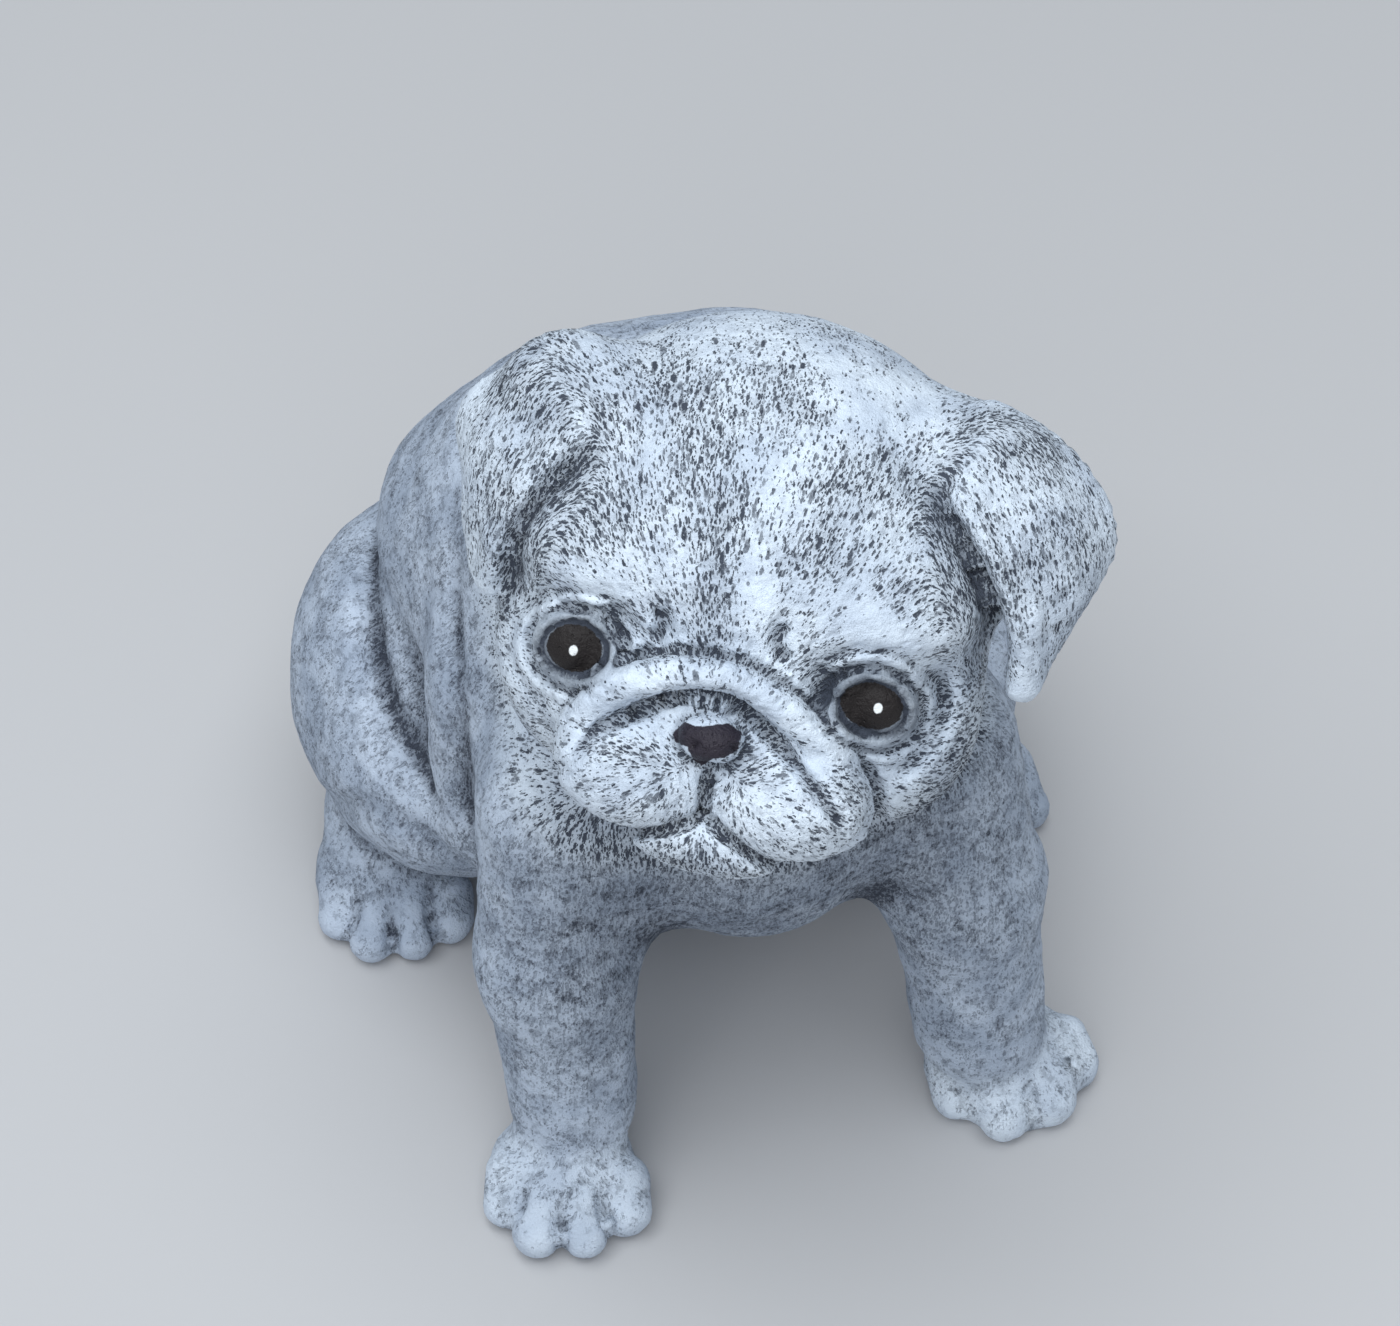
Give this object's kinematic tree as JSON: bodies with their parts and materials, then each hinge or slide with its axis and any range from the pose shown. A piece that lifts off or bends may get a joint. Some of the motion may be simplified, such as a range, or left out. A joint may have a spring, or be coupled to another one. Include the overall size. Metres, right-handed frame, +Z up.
{
  "type": "pug garden statue",
  "caption": "Life-size cast-stone pug puppy sitting upright with its head tilted and turned, a garden ornament that rests on its paws and seat.",
  "frame": {"origin": "centre of the statue's box at the height of the ground it stands on", "axes": "+Z up through the head, -Y the way the chest faces, +X the pup's left side"},
  "size_m": [0.1762, 0.22, 0.2361],
  "materials": {
    "cast_stone": "matt, pale stone with a dark wash in its hollows"
  },
  "bodies": {
    "root": {"pug": "cast_stone"}
  },
  "joints": []
}
